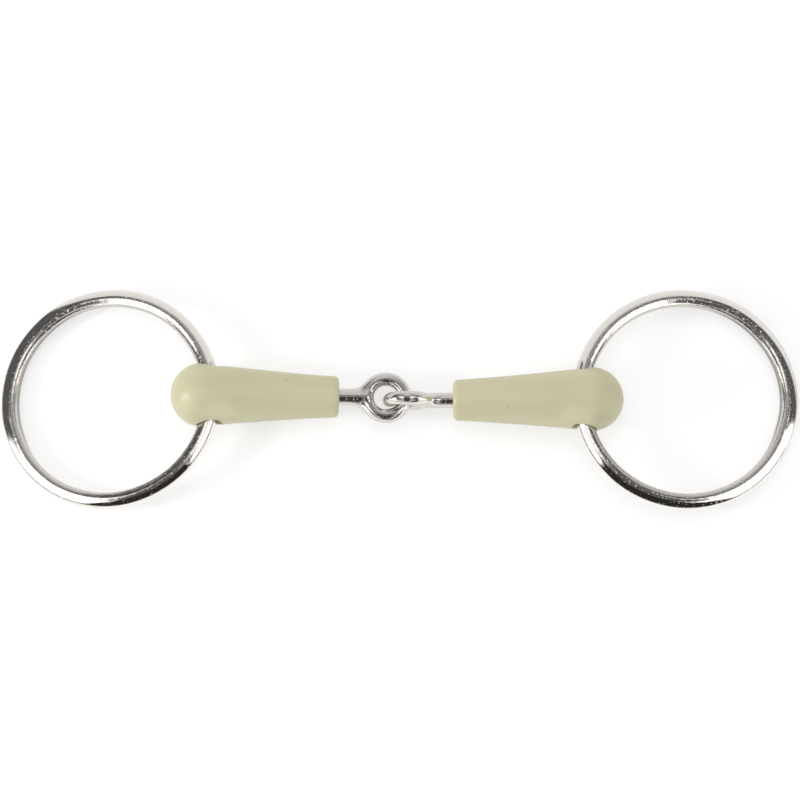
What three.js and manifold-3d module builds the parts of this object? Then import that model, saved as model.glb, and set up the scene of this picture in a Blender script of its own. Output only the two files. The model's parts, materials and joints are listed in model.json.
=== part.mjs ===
// Loose-ring snaffle bit with a single-jointed mouthpiece. Millimetres.
// +X runs along the mouthpiece, +Y across it, +Z up; the bit lies on the plane z = 0.
// Each half of the mouthpiece is a steel core moulded into a soft polymer cover, and each
// loose ring runs through a cross hole in the thick end of a cover.

import * as THREE from 'three';
import { mergeVertices } from 'three/addons/utils/BufferGeometryUtils.js';
import Module from 'manifold-3d';

const wasm = await Module();
wasm.setup();

// ---- Driving dimensions -------------------------------------------------------------------

const MOUTH_LENGTH = 125; // between the inner sides of the two ring wires
const RING_OUTER = 79; // outside diameter of a loose ring
const RING_WIRE = 6.2; // diameter of the ring's wire
const RING_HOLE = 9.2; // diameter of the cross hole that the ring runs through
const RING_LIFT = 1.2; // how far the curved wire bows past the middle of its straight hole

const BUTT_RADIUS = 11.25; // round outer end of a cover
const BUTT_LENGTH = 14.4; // from the hole's axis to the outer end
const COVER_LENGTH = 60;
const COVER_END_RADIUS = 7.25;
const COVER_EDGE = 1.2; // rounding of the cover's inner end
const TAPER_START_SLOPE = -0.17; // change of radius per length, just inside the butt
const TAPER_END_SLOPE = -0.055; // and at the inner end

const ROD = 5.5; // diameter of the steel core's rod
const JOINT_EYE_OUTER = 17.6; // eyes that hook together in the middle
const JOINT_EYE_HOLE = 8.4;
const JOINT_EYE_THICKNESS = 4.9;
const RING_EYE_OUTER = 17; // eyes buried in the covers, round the ring holes
const RING_EYE_HOLE = 11.8;
const RING_EYE_THICKNESS = 5.2;
const NECK_FILLET = 3.5; // from the rod into the joint eye
const NECK_THICKNESS = 4;
const GAP = 0.3; // between the core and the cover moulded round it
const JOINT_PLAY = 0.5; // slack between the two hooked eyes

// How the two sides lie: the half's turn in plan, the joint eye's twist out of the flat, both
// in degrees, and how far the slack ring has slipped sideways in its hole.
const LIE = {
  left: { yaw: -1.1, eyeTwist: 0, ringSlip: -1.3 },
  right: { yaw: 0.1, eyeTwist: 85, ringSlip: 0 },
};
const EYE_SLIP = 0.4; // the right joint eye hangs this far to one side in the left one

// ---- Derived places -----------------------------------------------------------------------

const wireRadius = RING_WIRE / 2;
const ringRadius = RING_OUTER / 2 - wireRadius;
const holeToMiddle = MOUTH_LENGTH / 2 + wireRadius;
const holeToEye = holeToMiddle - (JOINT_EYE_HOLE - JOINT_PLAY) / 2;
const buttCentre = BUTT_RADIUS - BUTT_LENGTH;
const coverEnd = COVER_LENGTH - BUTT_LENGTH;
const jointEyeRadius = (JOINT_EYE_OUTER + JOINT_EYE_HOLE) / 4;
const ringEyeRadius = (RING_EYE_OUTER + RING_EYE_HOLE) / 4;

// The butts and the upright joint eye rest on the plane, so both halves slope to the middle.
const slope = Math.asin((BUTT_RADIUS - JOINT_EYE_OUTER / 2) / (holeToEye - buttCentre));
const holeHeight = BUTT_RADIUS + buttCentre * Math.sin(slope);

// Each ring rests on the plane at its far side.
const ringReach = 2 * ringRadius - RING_LIFT;
const ringSlope = Math.asin((holeHeight - wireRadius) / ringReach);

// ---- Solids -------------------------------------------------------------------------------

function solid(geometry) {
  const bare = geometry.clone();
  bare.deleteAttribute('normal');
  bare.deleteAttribute('uv');
  const merged = mergeVertices(bare, 1e-4);
  return new wasm.Manifold(new wasm.Mesh({
    numProp: 3,
    vertProperties: new Float32Array(merged.attributes.position.array),
    triVerts: new Uint32Array(merged.index.array),
  }));
}

function geometryOf(body) {
  const mesh = body.getMesh();
  const geometry = new THREE.BufferGeometry();
  geometry.setAttribute('position', new THREE.BufferAttribute(mesh.vertProperties, 3));
  geometry.setIndex(new THREE.BufferAttribute(mesh.triVerts, 1));
  geometry.computeVertexNormals();
  return geometry;
}

// An eye in the XY plane, of oval section, round the origin.
function eye(outer, hole, thickness, sections, steps) {
  const radius = (outer + hole) / 4;
  const tube = (outer - hole) / 4;
  const geometry = new THREE.TorusGeometry(radius, tube, sections, steps);
  return geometry.scale(1, 1, thickness / (2 * tube));
}

// A round bar along X.
function bar(radius, start, end, sides) {
  const geometry = new THREE.CylinderGeometry(radius, radius, end - start, sides);
  return geometry.rotateZ(-Math.PI / 2).translate((start + end) / 2, 0, 0);
}

// The webs that fair the rod into the joint eye, which is centred on the origin.
function neck() {
  const outer = JOINT_EYE_OUTER / 2;
  const side = ROD / 2 + NECK_FILLET;
  const back = -Math.sqrt((outer + NECK_FILLET) ** 2 - side ** 2);
  const meet = Math.atan2(-side, -back);
  const shape = new THREE.Shape();
  shape.moveTo(back, -ROD / 2);
  shape.lineTo(back, ROD / 2);
  shape.absarc(back, side, NECK_FILLET, -Math.PI / 2, meet, false);
  shape.lineTo(-jointEyeRadius, 0);
  shape.absarc(back, -side, NECK_FILLET, -meet, Math.PI / 2, false);
  const options = { depth: NECK_THICKNESS, bevelEnabled: false, curveSegments: 5 };
  return new THREE.ExtrudeGeometry(shape, options).translate(0, 0, -NECK_THICKNESS / 2);
}

// The part of the steel core inside the cover: ring eye and rod, swollen by grow all round.
function buriedCore(grow, rodEnd) {
  const ringEye = eye(RING_EYE_OUTER + 2 * grow, RING_EYE_HOLE - 2 * grow,
    RING_EYE_THICKNESS + 2 * grow, 8, 28).rotateX(Math.PI / 2);
  const rod = bar(ROD / 2 + grow, ringEyeRadius, rodEnd, 16);
  return solid(ringEye).add(solid(rod));
}

// Steel core: the ring hole's centre at the origin, the joint eye out along +X.
function coreGeometry(twist) {
  const turn = THREE.MathUtils.degToRad(twist);
  const jointEye = eye(JOINT_EYE_OUTER, JOINT_EYE_HOLE, JOINT_EYE_THICKNESS, 12, 36);
  const end = solid(jointEye.rotateX(turn).translate(holeToEye, 0, 0))
    .add(solid(neck().rotateX(turn).translate(holeToEye, 0, 0)));
  return geometryOf(buriedCore(0, holeToEye - jointEyeRadius).add(end));
}

// Half outline of the cover: x is the radius, y the place along the mouthpiece.
function coverOutline() {
  const leave = Math.atan(-TAPER_START_SLOPE);
  const butt = new THREE.EllipseCurve(0, buttCentre, BUTT_RADIUS, BUTT_RADIUS, -Math.PI / 2, leave);
  const from = butt.getPoint(1);
  const to = new THREE.Vector2(COVER_END_RADIUS, coverEnd - COVER_EDGE);
  const third = (to.y - from.y) / 3;
  const taper = new THREE.CubicBezierCurve(
    from,
    new THREE.Vector2(from.x + third * TAPER_START_SLOPE, from.y + third),
    new THREE.Vector2(to.x - third * TAPER_END_SLOPE, to.y - third),
    to,
  );
  const edge = new THREE.EllipseCurve(to.x - COVER_EDGE, to.y, COVER_EDGE, COVER_EDGE, 0, Math.PI / 2);
  return [
    new THREE.Vector2(0, buttCentre - BUTT_RADIUS),
    ...butt.getPoints(10).slice(1),
    ...taper.getPoints(8).slice(1),
    ...edge.getPoints(3).slice(1),
    new THREE.Vector2(0, coverEnd),
  ];
}

// Polymer cover: a round, tapering sleeve with the ring's cross hole and the core's hollow.
function coverGeometry() {
  const sleeve = new THREE.LatheGeometry(coverOutline(), 32).rotateZ(-Math.PI / 2);
  const hole = new THREE.CylinderGeometry(RING_HOLE / 2, RING_HOLE / 2, 3 * BUTT_RADIUS, 24);
  const hollow = buriedCore(GAP, coverEnd + BUTT_RADIUS);
  return geometryOf(solid(sleeve).subtract(solid(hole)).subtract(hollow));
}

function ringGeometry() {
  return new THREE.TorusGeometry(ringRadius, wireRadius, 12, 60);
}

// ---- Materials ----------------------------------------------------------------------------

function steel() {
  return new THREE.MeshStandardMaterial({ color: 0xc9c6c6, roughness: 0.14, metalness: 1 });
}

function polymer() {
  return new THREE.MeshStandardMaterial({ color: 0xc9c4a2, roughness: 0.5, metalness: 0 });
}

function piece(name, geometry, material) {
  const mesh = new THREE.Mesh(geometry, material);
  mesh.name = name;
  return mesh;
}

// ---- Assembly -----------------------------------------------------------------------------

// One half of the bit with its ring. Inside the half, the ring hole's centre is the origin,
// +X points to the middle joint and +Y runs along the ring hole.
function half(side) {
  const ring = piece(`ring_${side}`, ringGeometry(), steel());
  ring.position.set(RING_LIFT - ringRadius, LIE[side].ringSlip, 0);
  const lying = new THREE.Group();
  lying.rotation.y = -slope - ringSlope;
  lying.add(ring);

  const cannon = new THREE.Group();
  cannon.add(
    piece(`core_${side}`, coreGeometry(LIE[side].eyeTwist), steel()),
    piece(`cover_${side}`, coverGeometry(), polymer()),
    lying,
  );
  cannon.rotation.y = slope;
  cannon.position.set(-holeToEye * Math.cos(slope), 0, holeHeight);
  return cannon;
}

// The half turned in plan about its joint eye's centre, which comes to (x, y).
function placedHalf(side, facing, x, y) {
  const turned = new THREE.Group();
  turned.add(half(side));
  turned.rotation.z = facing + THREE.MathUtils.degToRad(LIE[side].yaw);
  turned.position.set(x, y, 0);
  return turned;
}

const eyeOffset = (JOINT_EYE_HOLE - JOINT_PLAY) / 2;
const bit = new THREE.Group();
bit.name = 'snaffle_bit';
bit.add(
  placedHalf('left', 0, -eyeOffset, EYE_SLIP / 2),
  placedHalf('right', Math.PI, eyeOffset, -EYE_SLIP / 2),
);

// The origin lies on the plane, under the middle of the whole bit.
const extent = new THREE.Box3().setFromObject(bit, true);
const middle = extent.getCenter(new THREE.Vector3());
bit.position.set(-middle.x, -middle.y, -extent.min.z);

export default bit;
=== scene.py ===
"""A loose-ring snaffle bit lying on a pale floor: a single-jointed steel mouthpiece in two
soft polymer covers, with a loose steel ring through the thick end of each cover.

Shapes are worked out in millimetres in each half's own frame: the origin is the middle of
the ring hole, +X runs to the middle joint and +Y runs along the ring hole.
"""

import json
import math

import bpy
import numpy as np
from mathutils import Matrix, Vector


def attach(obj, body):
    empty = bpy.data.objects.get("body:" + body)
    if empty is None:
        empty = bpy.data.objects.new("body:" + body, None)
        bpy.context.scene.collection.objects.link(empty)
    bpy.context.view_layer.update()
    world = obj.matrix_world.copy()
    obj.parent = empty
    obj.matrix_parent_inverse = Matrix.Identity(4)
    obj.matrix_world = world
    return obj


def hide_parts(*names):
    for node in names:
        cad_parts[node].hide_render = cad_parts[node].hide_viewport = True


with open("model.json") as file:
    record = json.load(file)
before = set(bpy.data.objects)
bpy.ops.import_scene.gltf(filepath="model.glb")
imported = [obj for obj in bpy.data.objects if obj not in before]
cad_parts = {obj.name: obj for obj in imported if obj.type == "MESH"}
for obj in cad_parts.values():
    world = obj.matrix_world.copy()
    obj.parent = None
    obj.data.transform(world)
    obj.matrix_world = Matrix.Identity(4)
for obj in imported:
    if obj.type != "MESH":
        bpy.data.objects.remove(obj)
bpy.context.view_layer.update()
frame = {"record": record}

MM = 0.001

# ---- Dimensions, in millimetres ----------------------------------------------------------

WIRE = 3.1  # radius of the ring's wire

BUTT_X = -3.15
BUTT_RADIUS = 11.25
COVER_EDGE = 1.7  # rounding of the cover's inner end
# The sleeve's ends, and its slope at the inner one.
TAPER = {"from": -1.26, "to": 45.5, "slope_to": -0.05}
COVER_END_RADIUS = 7.2
HOLE_RADIUS = 3.85
HOLE_FLARE = 0.3  # how much wider the ring hole is at its mouths
HOLE_RAGGED = (0.12, 0.07)  # how uneven it is, in coarse and in fine waves
PARTING = {"wide": 0.35, "high": 0.05}  # the mould's parting line
SINK = 0.035  # how uneven the moulding is
RING_SWING = 120  # degrees that a ring swings up from the floor
RING_CLEARANCE = 0.2  # room left round the wire through its swing
ROOM_BLEND = 0.4  # between that room and the straight hole
CORE_GAP = 0.03  # between the core and the cover moulded round it

# Eyes: the radius of the middle line, and half the section's width and height.
JOINT_EYE = {"radius": 6.45, "across": 2.35, "thick": 2.45}
RING_EYE = {"radius": 7.2, "across": 1.3, "thick": 2.6}
ROD = 2.72  # radius
NECK = 7.0  # reach of the fillet between the rod and the joint eye
NECK_LENGTH = 18  # of the strip that the fillet starts from, to the eye's middle
WEB = 1.95  # half thickness of the web that fills that fillet
WEB_BLEND = 1.6  # fillets where the rod, the joint eye and the web meet
RING_EYE_BLEND = 3  # and where the rod meets the eye for the ring
WORN_EDGE = 0.4  # rounding of the edge that wear leaves

WELD_FLAT = {"deep": 0.2, "wide": 0.16}  # a ring is flat at its weld; wide is in radians
WELD_BEAD = {"high": 0.02, "wide": 0.02}
BENT = 0.012  # how unevenly a ring is bent
DRAWN = 0.004  # how uneven its wire is

# "twist" turns the joint eye about the rod, and "eye_x" is where its middle is. "worn" widens
# its bore by a round cut: the middle, along and across from the eye's own, and the radius.
# "slip" moves the half along world Y and "yaw" turns it in plan. "swell" is the cover's slope
# at its butt. "oval" and "egg" are how far the ring is from round, and in which direction.
# Angles are in degrees.
SIDES = {
    "left": {
        "twist": 0.0,
        "eye_x": 61.65,
        "worn": (1.4, -0.34, 3.4),
        "slip": -0.72,
        "yaw": 0.6,
        "cover_end": 45.0,
        "swell": -0.12,
        "hole": {"turn": 3.5, "shift": -0.35, "lip": 0.4},
        "ring_radius": 36.25,
        "ring_centre": (-36.35, -2.05),
        "oval": (0.315, 61.5),
        "egg": (0.096, -6.2),
        "weld": 204.0,
        "seed": 3,
    },
    "right": {
        "twist": 88.0,
        "eye_x": 62.0,
        "worn": None,
        "slip": -0.75,
        "yaw": 0.0,
        "cover_end": 45.75,
        "swell": -0.11,
        "hole": {"turn": 0.0, "shift": -0.25, "lip": 0.8},
        "ring_radius": 36.93,
        "ring_centre": (-36.81, 0.06),
        "oval": (0.409, 10.6),
        "egg": (0.064, -40.6),
        "weld": 163.0,
        "seed": 8,
    },
}

# ---- Places taken from the frame ---------------------------------------------------------

RECORD = frame["record"]
JOINTS = {joint["name"]: joint for joint in RECORD["behaviour"]["joints"]}
MOUNTS = {mount["name"]: mount for mount in RECORD["mounts"]}


def half_place(side):
    """The matrix that puts one half's own frame into the row frame."""
    joint = JOINTS[f"{side}_ring_swing"]
    along_hole = Vector(joint["axis"]).normalized()
    to_joint = Vector(MOUNTS[f"{side}_cover_shoulder"]["axis"])
    to_joint = (to_joint - along_hole * to_joint.dot(along_hole)).normalized()
    up = to_joint.cross(along_hole)
    turn = Matrix((to_joint, along_hole, up)).transposed().to_4x4()
    return Matrix.Translation(Vector(joint["pos_m"])) @ turn


# ---- Fields: negative inside a shape, zero on its surface ----------------------------------


def joined(a, b, reach):
    """Either shape, with a smooth fillet where the two meet."""
    near = np.maximum(reach - np.abs(a - b), 0) / reach
    return np.minimum(a, b) - near**3 * reach / 6


def common(a, b, radius):
    """What lies inside both shapes, with the corner between them rounded."""
    u = np.maximum(a + radius, 0)
    v = np.maximum(b + radius, 0)
    return np.minimum(np.maximum(a, b) + radius, 0) + np.hypot(u, v) - radius


def oval_ring(x, y, z, radius, across, thick):
    """A ring in the XY plane, of oval section."""
    out = (np.hypot(x, y) - radius) / across
    return (np.hypot(out, z / thick) - 1) * min(across, thick)


def bar_along_x(x, y, z, start, end, radius):
    beyond = x - np.clip(x, start, end)
    return np.sqrt(beyond**2 + y**2 + z**2) - radius


def core_field(given):
    """The steel core of one half: the eye for the ring, the rod and the joint eye."""
    twist, eye_x = math.radians(given["twist"]), given["eye_x"]
    cos, sin = math.cos(twist), math.sin(twist)

    def field(x, y, z):
        u = y * cos + z * sin
        w = z * cos - y * sin
        radius, across = JOINT_EYE["radius"], JOINT_EYE["across"]
        joint_eye = oval_ring(x - eye_x, u, w, radius, across, JOINT_EYE["thick"])
        ring_eye = oval_ring(
            x, z, y, RING_EYE["radius"], RING_EYE["across"], RING_EYE["thick"]
        )
        rod = bar_along_x(x, y, z, RING_EYE["radius"], eye_x - radius - 1, ROD)
        from_eye = np.hypot(x - eye_x, u)
        half = NECK_LENGTH / 2
        strip = np.maximum(np.abs(u) - ROD, np.abs(x - eye_x + half) - half)
        outline = joined(strip, from_eye - radius - across, NECK)
        outline = np.maximum(outline, radius - from_eye)
        web = np.hypot(np.maximum(outline + WEB, 0), w) - WEB
        steel = joined(joined(rod, joint_eye, WEB_BLEND), web, WEB_BLEND)
        if given["worn"]:
            # Guessed: the bore is wider on the side that the other eye pulls on, as if worn.
            # Without this the two eyes cut into each other when the mouthpiece folds.
            along, aside, reach = given["worn"]
            bore = np.hypot(x - eye_x - along, u - aside) - reach
            steel = common(steel, -bore, WORN_EDGE)
        return joined(steel, ring_eye, RING_EYE_BLEND)

    return field


def cover_radius(x, slope_from):
    """Radius of the tapering sleeve at x, and its slope."""
    start, end = TAPER["from"], TAPER["to"]
    length = end - start
    t = np.clip((x - start) / length, 0, 1)
    start_radius = math.sqrt(BUTT_RADIUS**2 - (start - BUTT_X) ** 2)
    radius = (
        start_radius * (1 - 3 * t**2 + 2 * t**3)
        + length * slope_from * (t - 2 * t**2 + t**3)
        + COVER_END_RADIUS * (3 * t**2 - 2 * t**3)
        + length * TAPER["slope_to"] * (t**3 - t**2)
    )
    slope = (
        start_radius * (6 * t**2 - 6 * t) / length
        + slope_from * (1 - 4 * t + 3 * t**2)
        + COVER_END_RADIUS * (6 * t - 6 * t**2) / length
        + TAPER["slope_to"] * (3 * t**2 - 2 * t)
    )
    return radius, slope


def ring_reach(given, turn):
    """How far the middle of a ring's wire is from the ring's own middle, by direction."""
    (oval, oval_at), (egg, egg_at) = given["oval"], given["egg"]
    return (
        given["ring_radius"]
        + oval * np.cos(2 * (turn - math.radians(oval_at)))
        + egg * np.cos(3 * (turn - math.radians(egg_at)))
    )


def ring_room(given, into_ring):
    """The room that the curved wire of the ring needs through its whole swing."""
    across = given["ring_centre"][0]
    swings = np.radians(np.linspace(0, RING_SWING, 7))

    def field(x, y, z):
        u, v, w = (row[0] * x + row[1] * y + row[2] * z + row[3] for row in into_ring)
        turn = np.arcsin(np.clip(v / given["ring_radius"], -1, 1))
        wire = across + ring_reach(given, turn) * np.cos(turn)
        near = [np.hypot(u + across - wire * np.cos(s), w + wire * np.sin(s)) for s in swings]
        return np.min(near, axis=0) - WIRE - RING_CLEARANCE

    return field


def cover_field(core, room, given):
    """The polymer cover: butt and sleeve, less the room for the ring and for the core."""
    draw = np.random.default_rng(given["seed"])
    phase = draw.uniform(0, 2 * math.pi, 6)

    def field(x, y, z):
        across = np.hypot(y, z)
        butt = np.sqrt((x - BUTT_X) ** 2 + across**2) - BUTT_RADIUS
        radius, slope = cover_radius(x, given["swell"])
        sleeve = (across - radius) / np.sqrt(1 + slope**2)
        body = np.where(x < TAPER["from"], butt, sleeve)
        # The mould's parting line runs along both sides, and the moulding has sunk a little.
        parting = np.exp(-((y / PARTING["wide"]) ** 2)) * np.clip((x + 2) / 6, 0, 1)
        body = body - PARTING["high"] * parting
        body = body + SINK * np.sin(x * 0.21 + phase[0]) * np.sin(
            2 * np.arctan2(z, y) + phase[1]
        )
        body = common(body, x - given["cover_end"], COVER_EDGE)
        beside = x - given["hole"]["shift"] + y * math.tan(math.radians(given["hole"]["turn"]))
        turn = np.arctan2(z, beside)
        ragged = HOLE_RAGGED[0] * np.sin(3 * turn + phase[2] + 0.4 * y)
        ragged = ragged + HOLE_RAGGED[1] * np.sin(7 * turn + phase[3] - 0.3 * y)
        flare = HOLE_FLARE * (y / BUTT_RADIUS) ** 4
        hole = np.hypot(beside, z) - HOLE_RADIUS - flare + ragged
        hole = joined(hole, room(x, y, z), ROOM_BLEND)
        body = common(body, -hole, given["hole"]["lip"])
        return np.maximum(body, CORE_GAP - core(x, y, z))

    return field


# ---- From a field to a smooth mesh ---------------------------------------------------------


def polygonise(field, low, high, step):
    """Points and quads of the surface, one point to each grid cell that it passes through."""
    low = np.asarray(low, float)
    count = np.ceil((np.asarray(high, float) - low) / step).astype(int) + 1
    lines = [low[i] + step * np.arange(count[i]) for i in range(3)]
    inside = field(*np.meshgrid(*lines, indexing="ij")) < 0

    corners = np.zeros(count - 1, np.int8)
    for i in (0, 1):
        for j in (0, 1):
            for k in (0, 1):
                corners += inside[
                    i : count[0] - 1 + i, j : count[1] - 1 + j, k : count[2] - 1 + k
                ]
    crossed = (corners > 0) & (corners < 8)
    number = np.full(crossed.shape, -1)
    number[crossed] = np.arange(crossed.sum())
    points = low + step * (np.argwhere(crossed) + 0.5)

    quads = []
    for axis in range(3):
        b, c = (axis + 1) % 3, (axis + 2) % 3
        first = np.moveaxis(inside, (axis, b, c), (0, 1, 2))
        cell = np.moveaxis(number, (axis, b, c), (0, 1, 2))
        change = first[:-1, 1:-1, 1:-1].astype(int) - first[1:, 1:-1, 1:-1]
        for sign in (1, -1):
            i, j, k = np.nonzero(change == sign)
            around = [cell[i, j, k], cell[i, j + 1, k], cell[i, j + 1, k + 1], cell[i, j, k + 1]]
            quads.append(np.stack(around[::sign], axis=1))
    return points, np.concatenate(quads)


def gradient(field, points, reach=0.02):
    steps = np.eye(3) * reach
    return np.stack(
        [(field(*(points + s).T) - field(*(points - s).T)) / (2 * reach) for s in steps],
        axis=1,
    )


def onto(field, points, rounds=2):
    for _ in range(rounds):
        slope = gradient(field, points)
        scale = field(*points.T) / np.maximum((slope**2).sum(1), 1e-6)
        points = points - slope * np.clip(scale, -0.4, 0.4)[:, None]
    return points


def evened(points, quads, field, rounds):
    """Slides the points along the surface until they are evenly spaced."""
    ends = np.concatenate([quads[:, [0, 1]], quads[:, [1, 2]], quads[:, [2, 3]], quads[:, [3, 0]]])
    share = np.bincount(ends[:, 0], minlength=len(points)).astype(float)
    points = onto(field, points)
    for _ in range(rounds):
        middle = np.stack(
            [
                np.bincount(ends[:, 0], points[ends[:, 1], i], len(points))
                for i in range(3)
            ],
            axis=1,
        ) / share[:, None]
        points = onto(field, points + 0.6 * (middle - points), 1)
    return onto(field, points)


def place_mesh(name, points, quads, normals, place, material):
    """A mesh object from points in millimetres in its own frame, which place puts in the
    row frame. Without normals it is shaded from its faces."""
    mesh = bpy.data.meshes.new(name)
    mesh.from_pydata((points * MM).tolist(), [], quads.tolist())
    mesh.polygons.foreach_set("use_smooth", np.ones(len(quads), bool))
    mesh.update()
    if normals is not None:
        mesh.normals_split_custom_set_from_vertices(normals.tolist())
    mesh.materials.append(material)
    piece = bpy.data.objects.new(name, mesh)
    bpy.context.scene.collection.objects.link(piece)
    piece.matrix_world = place
    return piece


def field_piece(name, field, low, high, step, place, material):
    points, quads = polygonise(field, low, high, step)
    points = evened(points, quads, field, 4)
    normals = gradient(field, points)
    normals /= np.maximum(np.linalg.norm(normals, axis=1), 1e-9)[:, None]
    return place_mesh(name, points, quads, normals, place, material)


# ---- Rings -----------------------------------------------------------------------------------


def ring_mesh(side):
    """A loose ring of bent and welded wire, round the middle of its own circle."""
    given = SIDES[side]
    around, section = ((900, 72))
    turn = np.arange(around) * 2 * math.pi / around
    from_weld = (turn - math.radians(given["weld"]) + math.pi) % (2 * math.pi) - math.pi
    draw = np.random.default_rng(given["seed"])
    # The ends of the bent wire stay a little straight, so the ring is flat at its weld.
    flat = WELD_FLAT["deep"] * np.exp(-((from_weld / WELD_FLAT["wide"]) ** 2))
    reach = ring_reach(given, turn) - flat
    for waves in range(5, 12):
        reach = reach + BENT * np.cos(waves * turn + draw.uniform(0, 2 * math.pi))
    line = np.stack([reach * np.cos(turn), reach * np.sin(turn)], axis=1)
    tangent = np.roll(line, -1, 0) - np.roll(line, 1, 0)
    tangent /= np.linalg.norm(tangent, axis=1)[:, None]
    outward = np.stack([tangent[:, 1], -tangent[:, 0]], axis=1)

    wire = WIRE + WELD_BEAD["high"] * np.exp(-((from_weld / WELD_BEAD["wide"]) ** 2))
    for waves in (17, 29, 41, 67):
        wire = wire + DRAWN * np.cos(waves * turn + draw.uniform(0, 2 * math.pi))

    angle = np.arange(section) * 2 * math.pi / section
    out = wire[:, None] * np.cos(angle)[None, :]
    points = np.stack(
        [
            line[:, 0, None] + out * outward[:, 0, None],
            line[:, 1, None] + out * outward[:, 1, None],
            wire[:, None] * np.sin(angle)[None, :],
        ],
        axis=2,
    ).reshape(-1, 3)
    i, j = np.meshgrid(np.arange(around), np.arange(section), indexing="ij")
    i, j = i.ravel(), j.ravel()
    i_next, j_next = (i + 1) % around, (j + 1) % section
    quads = np.stack(
        [i * section + j, i_next * section + j, i_next * section + j_next, i * section + j_next],
        axis=1,
    )
    return points, quads


def ring_place(side, place):
    """The ring hangs on its wire through the hole and rests on the floor at its far side."""
    given = SIDES[side]
    hole_height = place.translation.z / MM
    across, slip = given["ring_centre"]
    down = math.asin((hole_height - WIRE) / (given["ring_radius"] - across))
    flat_x = Vector((place.col[0].x, place.col[0].y, 0)).normalized()
    hole = Vector(place.col[1][:3])
    along = (flat_x * math.cos(down) + Vector((0, 0, 1)) * math.sin(down)).normalized()
    normal = along.cross(hole).normalized()
    turn = Matrix((along, hole, normal)).transposed().to_4x4()
    shift = Matrix.Translation(Vector((across, slip, 0)) * MM)
    return Matrix.Translation(place.translation) @ turn @ shift


# ---- Materials ---------------------------------------------------------------------------------


class Nodes:
    """Short calls for building a node tree."""

    def __init__(self, tree):
        self.tree = tree
        tree.nodes.clear()

    def add(self, kind, inputs=None, **settings):
        node = self.tree.nodes.new(kind)
        for key, value in settings.items():
            setattr(node, key, value)
        for key, value in (inputs or {}).items():
            if isinstance(value, bpy.types.NodeSocket):
                self.tree.links.new(value, node.inputs[key])
            else:
                node.inputs[key].default_value = value
        return node

    def ramp(self, value, stops):
        node = self.add("ShaderNodeValToRGB", {"Fac": value})
        while len(node.color_ramp.elements) < len(stops):
            node.color_ramp.elements.new(0.5)
        for element, (place, shade) in zip(node.color_ramp.elements, stops):
            element.position = place
            element.color = (*shade, 1) if isinstance(shade, tuple) else (shade,) * 3 + (1,)
        return node.outputs["Color"]


def linear(r, g, b):
    """A colour given as 0 to 255 as it is seen, in the renderer's linear light."""
    return tuple(
        c / 12.92 / 255 if c < 11 else ((c / 255 + 0.055) / 1.055) ** 2.4 for c in (r, g, b)
    )


def steel_material():
    """Polished stainless steel, with fine polishing marks and specks."""
    material = bpy.data.materials.new("steel")
    material.use_nodes = True
    nodes = Nodes(material.node_tree)
    place = nodes.add("ShaderNodeTexCoord").outputs["Object"]
    fine = nodes.add(
        "ShaderNodeTexNoise", {"Vector": place, "Scale": 2200.0, "Detail": 3.0, "Roughness": 0.6}
    ).outputs["Fac"]
    wide = nodes.add(
        "ShaderNodeTexNoise", {"Vector": place, "Scale": 160.0, "Detail": 2.0}
    ).outputs["Fac"]
    rough = nodes.add(
        "ShaderNodeMapRange",
        {"Value": wide, "From Min": 0.3, "From Max": 0.7, "To Min": 0.035, "To Max": 0.07},
    ).outputs["Result"]
    pits = nodes.ramp(
        nodes.add(
            "ShaderNodeTexNoise", {"Vector": place, "Scale": 1300.0, "Detail": 2.0}
        ).outputs["Fac"],
        [(0.62, 0.0), (0.74, 2.5)],
    )
    height = nodes.add(
        "ShaderNodeMath", {0: fine, 1: pits}, operation="SUBTRACT"
    ).outputs["Value"]
    bump = nodes.add("ShaderNodeBump", {"Height": height, "Strength": 0.8, "Distance": 0.00003})
    shader = nodes.add(
        "ShaderNodeBsdfPrincipled",
        {
            "Base Color": (*linear(222, 218, 214), 1),
            "Metallic": 1.0,
            "Roughness": rough,
            "Normal": bump.outputs["Normal"],
        },
    )
    nodes.add("ShaderNodeOutputMaterial", {"Surface": shader.outputs["BSDF"]})
    return material


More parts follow.
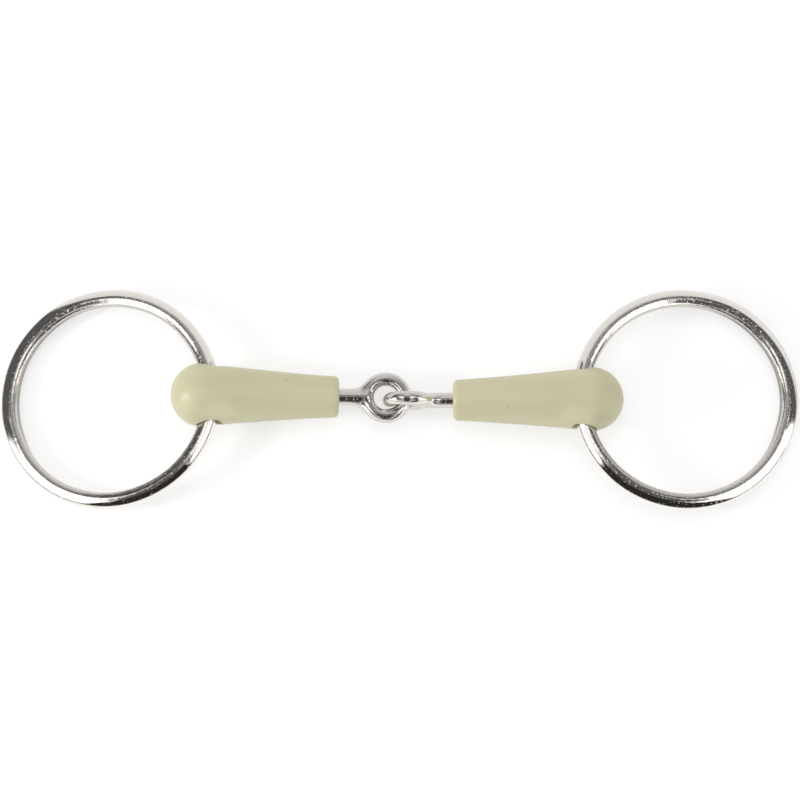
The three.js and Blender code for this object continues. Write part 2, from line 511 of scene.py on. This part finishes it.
def polymer_material():
    """Soft matt polymer, a pale grey green, with faint flow marks along it and a few specks."""
    material = bpy.data.materials.new("polymer")
    material.use_nodes = True
    nodes = Nodes(material.node_tree)
    place = nodes.add("ShaderNodeTexCoord").outputs["Object"]
    stretched = nodes.add(
        "ShaderNodeMapping", {"Vector": place, "Scale": (14.0, 150.0, 150.0)}
    ).outputs["Vector"]
    flow = nodes.add(
        "ShaderNodeTexNoise", {"Vector": stretched, "Scale": 1.0, "Detail": 3.0}
    ).outputs["Fac"]
    grain = nodes.add(
        "ShaderNodeTexNoise", {"Vector": place, "Scale": 900.0, "Detail": 4.0, "Roughness": 0.6}
    ).outputs["Fac"]
    colour = nodes.ramp(
        flow, [(0.3, linear(187, 183, 150)), (0.7, linear(194, 190, 158))]
    )
    speck = nodes.add("ShaderNodeTexVoronoi", {"Vector": place, "Scale": 150.0}).outputs["Distance"]
    dots = nodes.ramp(speck, [(0.0, 1.0), (0.05, 1.0), (0.09, 0.0)])
    few = nodes.add("ShaderNodeTexNoise", {"Vector": place, "Scale": 45.0}).outputs["Fac"]
    some = nodes.ramp(few, [(0.56, 0.0), (0.62, 1.0)])
    amount = nodes.add(
        "ShaderNodeMath", {0: dots, 1: some}, operation="MULTIPLY"
    ).outputs["Value"]
    faint = nodes.add(
        "ShaderNodeMath", {0: amount, 1: 0.35}, operation="MULTIPLY"
    ).outputs["Value"]
    mixed = nodes.add("ShaderNodeMix", data_type="RGBA")
    nodes.tree.links.new(faint, mixed.inputs[0])
    nodes.tree.links.new(colour, mixed.inputs[6])
    mixed.inputs[7].default_value = (*linear(120, 112, 84), 1)
    rough = nodes.add(
        "ShaderNodeMapRange",
        {"Value": grain, "From Min": 0.3, "From Max": 0.7, "To Min": 0.33, "To Max": 0.42},
    ).outputs["Result"]
    bump = nodes.add("ShaderNodeBump", {"Height": grain, "Strength": 0.2, "Distance": 0.00006})
    shader = nodes.add(
        "ShaderNodeBsdfPrincipled",
        {
            "Base Color": mixed.outputs[2],
            "Roughness": rough,
            "Specular IOR Level": 0.4,
            "Subsurface Weight": 0.3,
            "Subsurface Radius": (1.0, 0.85, 0.55),
            "Subsurface Scale": 0.002,
            "Normal": bump.outputs["Normal"],
        },
    )
    nodes.add("ShaderNodeOutputMaterial", {"Surface": shader.outputs["BSDF"]})
    return material


def floor_material():
    """A pale translucent table top, lit a little from below."""
    material = bpy.data.materials.new("floor")
    material.use_nodes = True
    nodes = Nodes(material.node_tree)
    shader = nodes.add(
        "ShaderNodeBsdfPrincipled",
        {
            "Base Color": (0.5, 0.5, 0.5, 1),
            "Roughness": 0.9,
            "Specular IOR Level": 0.0,
            "Emission Color": (1, 1, 1, 1),
            "Emission Strength": 0.5,
        },
    )
    nodes.add("ShaderNodeOutputMaterial", {"Surface": shader.outputs["BSDF"]})
    return material


# ---- The object --------------------------------------------------------------------------------

STEEL = steel_material()
POLYMER = polymer_material()
FINE = 0.3  # the field grid's step
MARGIN = 1  # from a cover's ends to the ends of its grid
COVER_HALF = 12.5  # half the grid's width and height round a cover
CORE_HALF = 10.5  # and round a core
CORE_ENDS = 10  # from the middles of a core's eyes to the ends of its grid

for side, given in SIDES.items():
    place = half_place(side)
    points, quads = ring_mesh(side)
    ring_at = ring_place(side, place)
    ring = place_mesh(f"loose_ring_{side}", points, quads, None, ring_at, STEEL)
    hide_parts(f"ring_{side}")
    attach(ring, f"{side}_ring")

    lean = Matrix.Rotation(math.radians(given["yaw"]), 4, "Z")
    place = Matrix.Translation(Vector((0, given["slip"], 0)) * MM) @ place @ lean
    into_ring = np.array(ring_at.inverted() @ place)
    into_ring[:3, 3] /= MM
    core = core_field(given)
    core_piece = field_piece(
        f"steel_core_{side}",
        core,
        (-CORE_ENDS, -CORE_HALF, -CORE_HALF),
        (given["eye_x"] + CORE_ENDS, CORE_HALF, CORE_HALF),
        FINE,
        place,
        STEEL,
    )
    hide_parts(f"core_{side}")
    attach(core_piece, f"{side}_cannon")

    cover = field_piece(
        f"cover_{side}_soft",
        cover_field(core, ring_room(given, into_ring[:3]), given),
        (BUTT_X - BUTT_RADIUS - MARGIN, -COVER_HALF, -COVER_HALF),
        (given["cover_end"] + MARGIN, COVER_HALF, COVER_HALF),
        FINE,
        place,
        POLYMER,
    )
    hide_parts(f"cover_{side}")
    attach(cover, f"{side}_cannon")

# ---- Floor, light and camera ---------------------------------------------------------------------

bpy.ops.mesh.primitive_plane_add(size=8, location=(0, 0, 0))
floor = bpy.context.object
floor.name = "floor"
floor.data.materials.append(floor_material())

ELEVATION = math.radians(79)  # read from how the rings are foreshortened in the photo
RIGHT = Vector((1, 0, 0))
UP = Vector((0, math.sin(ELEVATION), math.cos(ELEVATION)))
BACK = Vector((0, -math.cos(ELEVATION), math.sin(ELEVATION)))
AIM = Vector((0.00104, -0.00106, 0.00879))  # in the middle of the picture
DISTANCE = 1.05
PHOTO_WIDTH = 800 * 0.0003538  # pixels across, by the metres to a pixel at AIM
SENSOR = 36

world = bpy.data.worlds.new("studio")
bpy.context.scene.world = world
world.use_nodes = True
world.node_tree.nodes["Background"].inputs["Color"].default_value = (0.85, 0.845, 0.85, 1)
world.node_tree.nodes["Background"].inputs["Strength"].default_value = 1.0


# Sheets that are only seen as reflections stand for the unknown room. Their patterns were
# fitted to the bands that the photo shows on each ring, so the two sides differ.

# Where the rings lie, in metres: middle, its height, and the rise from there to the cover.
RING_X, RING_HEIGHT, RING_LEAN = 0.102, 0.0071, 0.004


def smooth(value, start, end):
    t = np.clip((value - start) / (end - start), 0, 1)
    return t * t * (3 - 2 * t)


def sector(turn, start, end, soft):
    """1 between two directions, in degrees, fading over soft degrees at each."""
    middle, half = (start + end) / 2, (end - start) / 2
    off = np.abs((turn - middle + 180) % 360 - 180)
    return 1 - smooth(off, half - soft / 2, half + soft / 2)


def card_light(a, b):
    """What the sheet of studio cards shows at a place across (a) and up (b) the picture: for
    each ring a bright card below and outside it, dark gaps beside it and grey elsewhere, and
    over the middle joint a light card above and a dark one below."""
    u = CARD_FOCUS[0] - np.abs(a)
    v = b - CARD_FOCUS[1]
    turn = np.degrees(np.arctan2(v, u)) % 360
    out = np.hypot(u, v)
    left = a < 0
    light = 0.36 + 0.24 * smooth(out, 0.06, 0.25)
    gap = sector(turn, 96, 199, 10) * np.where(left, 1, 1 - smooth(out, 0.06, 0.12))
    light += gap * (0.1 - light)
    light += sector(turn, np.where(left, 268, 254), 330, 12) * (0.12 - light)
    below = sector(turn, np.where(left, 266, 285), 325, 16) * smooth(out, 0.12, 0.16)
    light += below * (0.62 - light)
    inner = sector(turn, 322, 358, 12) * smooth(out, 0.03, 0.07)
    light += inner * (1.5 - light)
    light += (1 - smooth(out, 0.01, 0.018)) * (0.12 - light)
    white = sector(turn, np.where(left, 197, 191), np.where(left, 268, 256), 6)
    white *= smooth(out, 0.01, 0.02) * (1 - 0.8 * smooth(out, 0.18, 0.24))
    light += white * (2.2 - light)
    middle = 1 - smooth(np.abs(a), 0.025, 0.045)
    over = 0.2 * smooth(b, 0.0, 0.02) + 0.5 * smooth(b, 0.06, 0.1)
    light += middle * (0.05 + over + 0.5 * smooth(-b, 0.16, 0.24) - light)
    return light


def edge_light(turn, height, left):
    """What a low screen round each ring shows, by the direction from the ring's middle and
    by height, from 0 at the floor to 1 at the top."""
    light = 1.15 - 0.3 * height
    dark = sector(turn, np.where(left, 126, 120) - 20 * height, np.where(left, 199, 191), 6)
    light += dark * np.where(left, 1, smooth(height + (turn - 150) / 90, 0.3, 0.5)) * (
        0.12 - light
    )
    black = np.where(left, 250, 236) + np.where(left, 20, 30) * height
    light += sector(turn, np.where(left, 200 + 10 * height, 192), black, 3) * (2.2 - light)
    end = 321 + 40 * (height - 0.5) ** 2
    light += sector(turn, black, end, 5) * (0.03 - light)
    light += sector(turn, end, 360, 5) * (2.0 - light)
    low = sector(turn, 203, 360, 8)
    # A thin dark line, and the pale floor below it.
    rim = np.where(left, 0.4 * (1 - np.exp((203 - turn) / 45)), 0.0015 * turn - 0.16)
    light += low * (1 - smooth(height, rim - 0.06, rim)) * (1.3 - light)
    light += low * np.exp(-(((height - rim) / 0.04) ** 2)) * (0.03 - light)
    return light


def floor_light(a, b):
    """What the polished steel finds on the floor: pale, with a painted shadow of each ring's wire
    on its far side, and brighter in front of each ring.
    """
    turn = np.degrees(np.arctan2(b, RING_X - np.abs(a))) % 360
    return 0.9 - 0.4 * sector(turn, 115, 200, 25) + 0.3 * sector(turn, 210, 340, 15)


def glowing_sheet(name, points, light):
    """A sheet, from a grid of points, that glows by the light given at each point. It is only
    seen as a reflection."""
    steps_across, steps_up = points.shape[0] - 1, points.shape[1] - 1
    i, j = np.meshgrid(np.arange(steps_across), np.arange(steps_up), indexing="ij")
    first = (i * (steps_up + 1) + j).ravel()
    beside = first + steps_up + 1
    quads = np.stack([first, beside, beside + 1, first + 1], axis=1)
    mesh = bpy.data.meshes.new(name)
    mesh.from_pydata(points.reshape(-1, 3).tolist(), [], quads.tolist())
    shade = mesh.attributes.new("light", "FLOAT", "POINT")
    shade.data.foreach_set("value", light.ravel().astype(np.float32))
    material = bpy.data.materials.new(name)
    material.use_nodes = True
    nodes = Nodes(material.node_tree)
    read = nodes.add("ShaderNodeAttribute", attribute_name="light")
    glow = nodes.add(
        "ShaderNodeEmission", {"Color": (1, 0.99, 0.975, 1), "Strength": read.outputs["Fac"]}
    )
    nodes.add("ShaderNodeOutputMaterial", {"Surface": glow.outputs["Emission"]})
    mesh.materials.append(material)
    sheet = bpy.data.objects.new(name, mesh)
    bpy.context.scene.collection.objects.link(sheet)
    sheet.visible_camera = False
    sheet.visible_diffuse = False
    sheet.visible_transmission = False
    sheet.visible_volume_scatter = False
    sheet.visible_shadow = False


def flat_grid(origin, across, up, wide, high):
    """A flat grid of points, with each point's place across and up the sheet."""
    a, b = np.meshgrid(
        np.linspace(-wide / 2, wide / 2, int(wide / SHEET_STEP) + 1),
        np.linspace(-high / 2, high / 2, int(high / SHEET_STEP) + 1),
        indexing="ij",
    )
    return np.array(origin) + a[..., None] * np.array(across) + b[..., None] * np.array(up), a, b


SHEET_STEP = 0.005
SHEET_SIZE = (1.8, 1.4)
CARD_HEIGHT = 0.13
CARD_FOCUS = (0.142, 0.0525)  # where a ring's wire, seen at its top, reflects the cards
UNDER_FLOOR = 0.0001
points, a, b = flat_grid(AIM + BACK * CARD_HEIGHT, RIGHT, UP, *SHEET_SIZE)
glowing_sheet("studio_cards", points, card_light(a, b))
# floor_glow stands in for the floor in reflections, with a painted shadow of each ring beside it.
points, a, b = flat_grid((0, 0, -UNDER_FLOOR), (1, 0, 0), (0, 1, 0), *SHEET_SIZE)
glowing_sheet("floor_glow", points, floor_light(a, b))
floor.visible_glossy = False  # the steel reflects floor_glow in its place

# The screens stand close round the rings, open where the covers are, and end a little above.
SCREEN_RADIUS, SCREEN_RISE = 0.046, 0.025
for name, sign in (("screen_left", -1), ("screen_right", 1)):
    turn, height = np.meshgrid(np.arange(21.0, 348.0), np.linspace(0, 1, 41), indexing="ij")
    across = np.cos(np.radians(turn))
    top = SCREEN_RISE + RING_HEIGHT + RING_LEAN * across
    points = np.stack(
        [
            sign * (RING_X - SCREEN_RADIUS * across),
            SCREEN_RADIUS * np.sin(np.radians(turn)),
            top * height,
        ],
        axis=2,
    )
    glowing_sheet(name, points, edge_light(turn, height, sign < 0))


def soft_light(name, location, size, power, mirrored=False):
    data = bpy.data.lights.new(name, "AREA")
    data.shape = "DISK"
    data.size = size
    data.energy = power
    lamp = bpy.data.objects.new(name, data)
    bpy.context.scene.collection.objects.link(lamp)
    lamp.location = location
    lamp.rotation_euler = (Vector(location)).to_track_quat("Z", "Y").to_euler()
    lamp.visible_camera = False
    lamp.visible_glossy = mirrored


soft_light("soft_top", (0.0, 0.5, 1.5), 1.4, 5.0)
soft_light("soft_left", (-0.55, -0.1, 0.26), 0.12, 1.35, mirrored=True)

camera_data = bpy.data.cameras.new("camera")
camera_data.sensor_width = SENSOR
camera_data.lens = SENSOR * DISTANCE / PHOTO_WIDTH
camera_data.clip_start = 0.01
camera_data.clip_end = 20
camera = bpy.data.objects.new("camera", camera_data)
bpy.context.scene.collection.objects.link(camera)
camera.matrix_world = Matrix.Translation(AIM + BACK * DISTANCE) @ Matrix(
    (RIGHT, UP, BACK)
).transposed().to_4x4()
bpy.context.scene.camera = camera

bpy.context.scene.view_settings.view_transform = "Standard"
bpy.context.scene.view_settings.look = "None"
